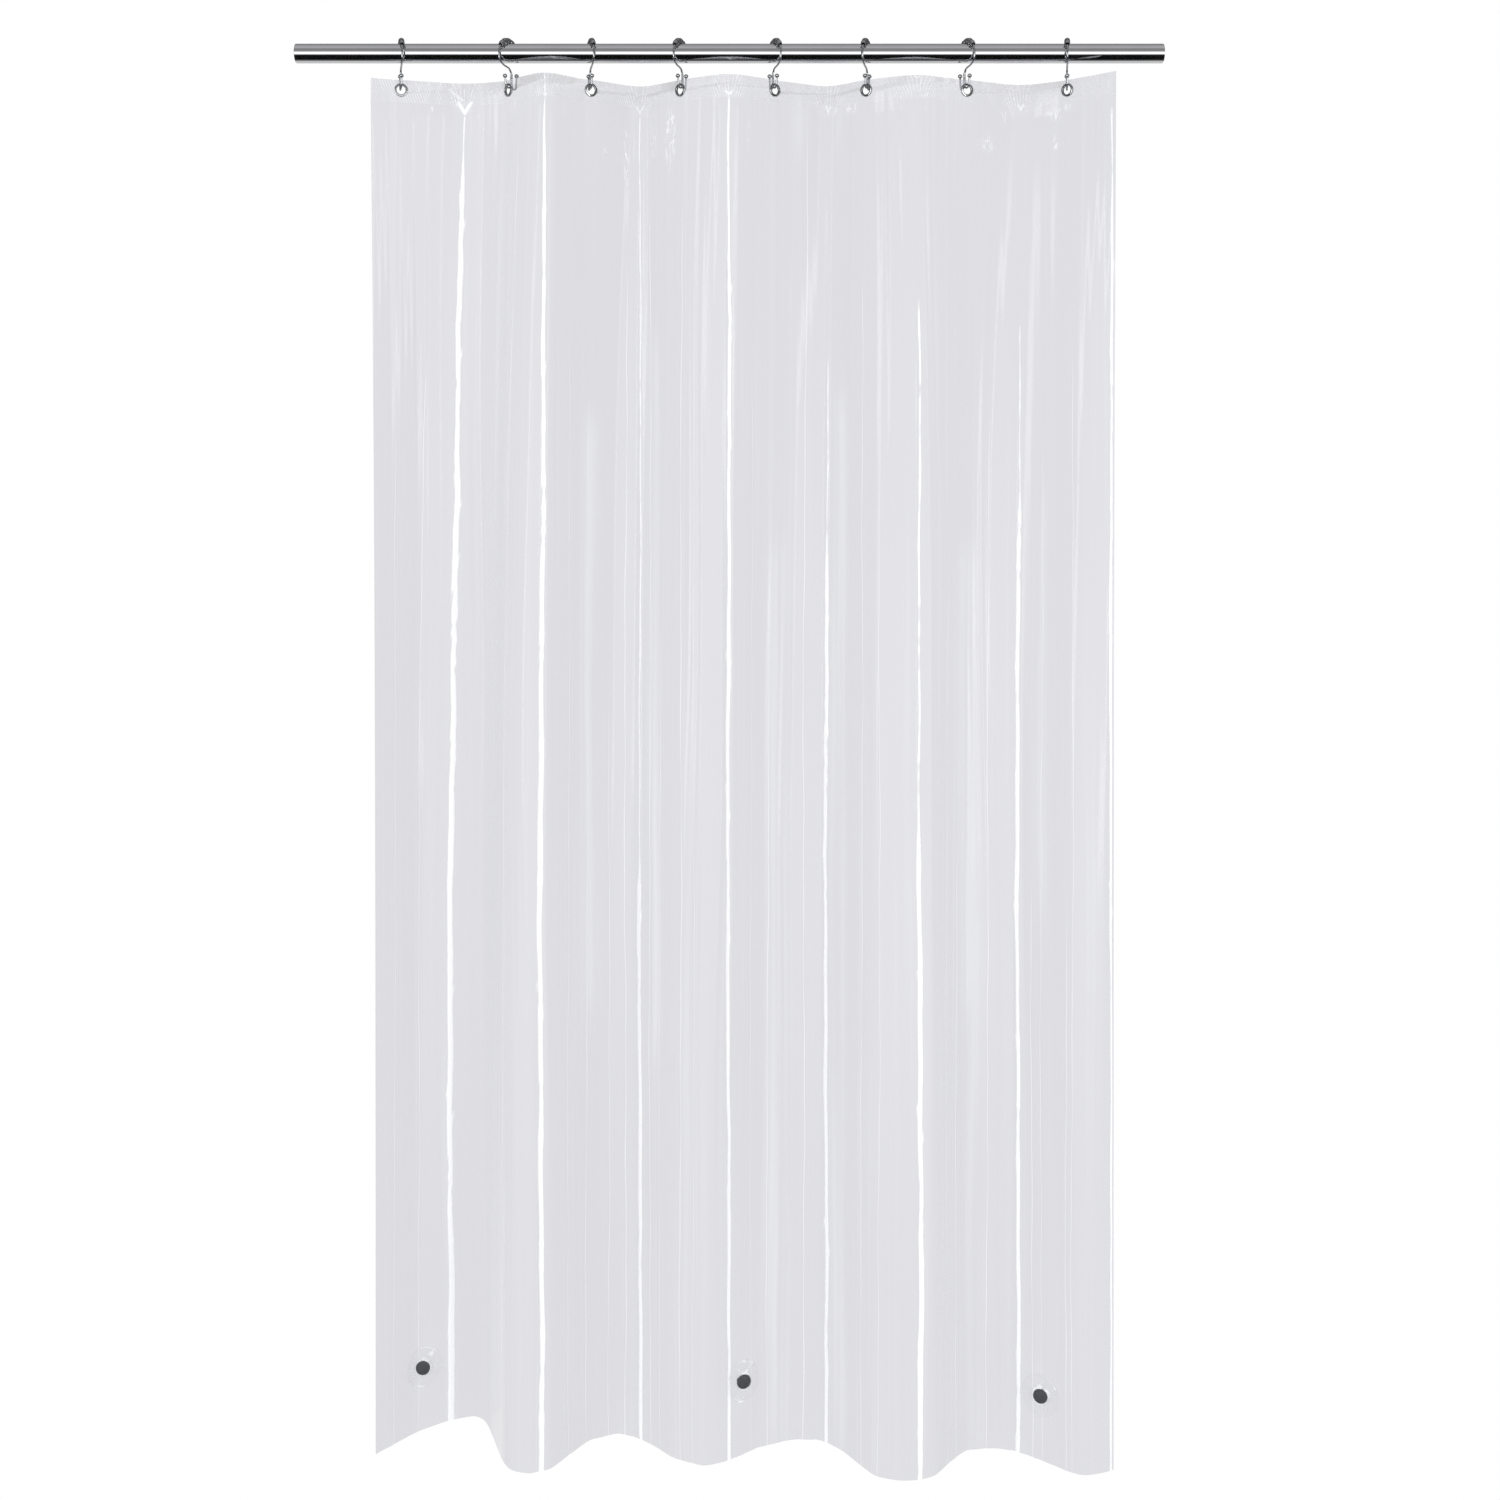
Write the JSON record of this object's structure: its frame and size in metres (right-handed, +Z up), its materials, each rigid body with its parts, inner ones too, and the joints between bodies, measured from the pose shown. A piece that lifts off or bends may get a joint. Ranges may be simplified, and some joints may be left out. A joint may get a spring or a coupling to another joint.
{
  "type": "shower curtain",
  "caption": "Clear film shower curtain hung in vertical folds from double roller hooks on a round rod, with eyelets, a header band and hem magnets.",
  "frame": {"origin": "middle of the rod's axis", "axes": "+X along the rod, +Z up, -Y towards the room, so the film hangs down -Z"},
  "size_m": [1.157, 0.1012, 1.8844],
  "materials": {
    "rod_chrome": "polished chrome",
    "hook_steel": "plated wire",
    "roller_metal": "plated beads",
    "eyelet_metal": "plated",
    "clear_film": "clear gloss film",
    "header_film": "clear film, embossed",
    "magnet_ferrite": "dark ferrite"
  },
  "bodies": {
    "rod": {"rod_tube": "rod_chrome"},
    "rollers_4": {"hook_4_rollers": "roller_metal"},
    "hook_4": {"hook_4_wire": "hook_steel"},
    "panel_1": {"film_panel_1": "clear_film", "header_band_1": "header_film", "eyelet_1": "eyelet_metal", "eyelet_1_washer": "eyelet_metal", "magnet_left": "magnet_ferrite", "magnet_pocket_left": "clear_film"},
    "hook_1": {"hook_1_wire": "hook_steel", "hook_1_rollers": "roller_metal"},
    "panel_2": {"film_panel_2": "clear_film", "header_band_2": "header_film", "eyelet_2": "eyelet_metal", "eyelet_2_washer": "eyelet_metal"},
    "hook_2": {"hook_2_wire": "hook_steel", "hook_2_rollers": "roller_metal"},
    "panel_3": {"film_panel_3": "clear_film", "header_band_3": "header_film", "eyelet_3": "eyelet_metal", "eyelet_3_washer": "eyelet_metal"},
    "hook_3": {"hook_3_wire": "hook_steel", "hook_3_rollers": "roller_metal"},
    "panel_4": {"film_panel_4": "clear_film", "header_band_4": "header_film", "eyelet_4": "eyelet_metal", "eyelet_4_washer": "eyelet_metal"},
    "panel_5": {"film_panel_5": "clear_film", "header_band_5": "header_film", "eyelet_5": "eyelet_metal", "eyelet_5_washer": "eyelet_metal", "magnet_middle": "magnet_ferrite", "magnet_pocket_middle": "clear_film"},
    "hook_5": {"hook_5_wire": "hook_steel", "hook_5_rollers": "roller_metal"},
    "panel_6": {"film_panel_6": "clear_film", "header_band_6": "header_film", "eyelet_6": "eyelet_metal", "eyelet_6_washer": "eyelet_metal"},
    "hook_6": {"hook_6_wire": "hook_steel", "hook_6_rollers": "roller_metal"},
    "panel_7": {"film_panel_7": "clear_film", "header_band_7": "header_film", "eyelet_7": "eyelet_metal", "eyelet_7_washer": "eyelet_metal"},
    "hook_7": {"hook_7_wire": "hook_steel", "hook_7_rollers": "roller_metal"},
    "panel_8": {"film_panel_8": "clear_film", "header_band_8": "header_film", "eyelet_8": "eyelet_metal", "eyelet_8_washer": "eyelet_metal", "magnet_right": "magnet_ferrite", "magnet_pocket_right": "clear_film"},
    "hook_8": {"hook_8_wire": "hook_steel", "hook_8_rollers": "roller_metal"}
  },
  "joints": [
    {"name": "curtain_slide", "type": "slide", "parent": "rod", "child": "rollers_4", "axis": [1, 0, 0], "range_m": [-0.08, 0.06]},
    {"name": "curtain_swing", "type": "hinge", "parent": "rollers_4", "child": "hook_4", "pos_m": [0, 0, 0], "axis": [1, 0, 0], "range_deg": [-7, 7]},
    {"name": "curtain_gather", "type": "hinge", "parent": "hook_4", "child": "panel_4", "pos_m": [-0.066, 0, -0.0487], "axis": [0, 0, -1], "range_deg": [-8, 26]},
    {"name": "crease_1", "type": "hinge", "parent": "panel_2", "child": "panel_1", "pos_m": [-0.36692, 0.02656, -0.0487], "axis": [0, 0, 1], "range_deg": [-16.01, 52.01]},
    {"name": "crease_2", "type": "hinge", "parent": "panel_3", "child": "panel_2", "pos_m": [-0.24014, -0.05236, -0.0487], "axis": [0, 0, 1], "range_deg": [-52.01, 16.01]},
    {"name": "crease_3", "type": "hinge", "parent": "panel_4", "child": "panel_3", "pos_m": [-0.12539, 0.04775, -0.0487], "axis": [0, 0, 1], "range_deg": [-16.01, 52.01]},
    {"name": "crease_4", "type": "hinge", "parent": "panel_4", "child": "panel_5", "pos_m": [-0.00261, -0.04228, -0.0487], "axis": [0, 0, 1], "range_deg": [-16.01, 52.01]},
    {"name": "crease_5", "type": "hinge", "parent": "panel_5", "child": "panel_6", "pos_m": [0.12157, 0.04596, -0.0487], "axis": [0, 0, 1], "range_deg": [-52.01, 16.01]},
    {"name": "crease_6", "type": "hinge", "parent": "panel_6", "child": "panel_7", "pos_m": [0.24975, -0.03554, -0.0487], "axis": [0, 0, 1], "range_deg": [-16.01, 52.01]},
    {"name": "crease_7", "type": "hinge", "parent": "panel_7", "child": "panel_8", "pos_m": [0.38393, 0.03671, -0.0487], "axis": [0, 0, 1], "range_deg": [-52.01, 16.01]},
    {"name": "hook_1_swivel", "type": "hinge", "parent": "panel_1", "child": "hook_1", "pos_m": [-0.43834, 0, -0.0487], "axis": [0, 0, 1], "range_deg": [-13.01, 4.01]},
    {"name": "hook_2_swivel", "type": "hinge", "parent": "panel_2", "child": "hook_2", "pos_m": [-0.2955, 0, -0.0487], "axis": [0, 0, 1], "range_deg": [-7.09, 23.02]},
    {"name": "hook_3_swivel", "type": "hinge", "parent": "panel_3", "child": "hook_3", "pos_m": [-0.18477, 0, -0.0487], "axis": [0, 0, 1], "range_deg": [-13.01, 4.01]},
    {"name": "hook_5_swivel", "type": "hinge", "parent": "panel_5", "child": "hook_5", "pos_m": [0.06079, 0, -0.0487], "axis": [0, 0, 1], "range_deg": [-17.01, 5.24]},
    {"name": "hook_6_swivel", "type": "hinge", "parent": "panel_6", "child": "hook_6", "pos_m": [0.18234, 0, -0.0487], "axis": [0, 0, 1], "range_deg": [-4.01, 13.01]},
    {"name": "hook_7_swivel", "type": "hinge", "parent": "panel_7", "child": "hook_7", "pos_m": [0.31715, 0, -0.0487], "axis": [0, 0, 1], "range_deg": [-17.01, 5.24]},
    {"name": "hook_8_swivel", "type": "hinge", "parent": "panel_8", "child": "hook_8", "pos_m": [0.4507, 0, -0.0487], "axis": [0, 0, 1], "range_deg": [-4.01, 13.01]}
  ],
  "couplings": [
    {"joint": "crease_1", "follows": "curtain_gather", "ratio": 2},
    {"joint": "crease_2", "follows": "curtain_gather", "ratio": -2},
    {"joint": "crease_3", "follows": "curtain_gather", "ratio": 2},
    {"joint": "crease_4", "follows": "curtain_gather", "ratio": 2},
    {"joint": "crease_5", "follows": "curtain_gather", "ratio": -2},
    {"joint": "crease_6", "follows": "curtain_gather", "ratio": 2},
    {"joint": "crease_7", "follows": "curtain_gather", "ratio": -2},
    {"joint": "hook_1_swivel", "follows": "curtain_gather", "ratio": -0.5},
    {"joint": "hook_2_swivel", "follows": "curtain_gather", "ratio": 0.885},
    {"joint": "hook_3_swivel", "follows": "curtain_gather", "ratio": -0.5},
    {"joint": "hook_5_swivel", "follows": "curtain_gather", "ratio": -0.654},
    {"joint": "hook_6_swivel", "follows": "curtain_gather", "ratio": 0.5},
    {"joint": "hook_7_swivel", "follows": "curtain_gather", "ratio": -0.654},
    {"joint": "hook_8_swivel", "follows": "curtain_gather", "ratio": 0.5}
  ]
}
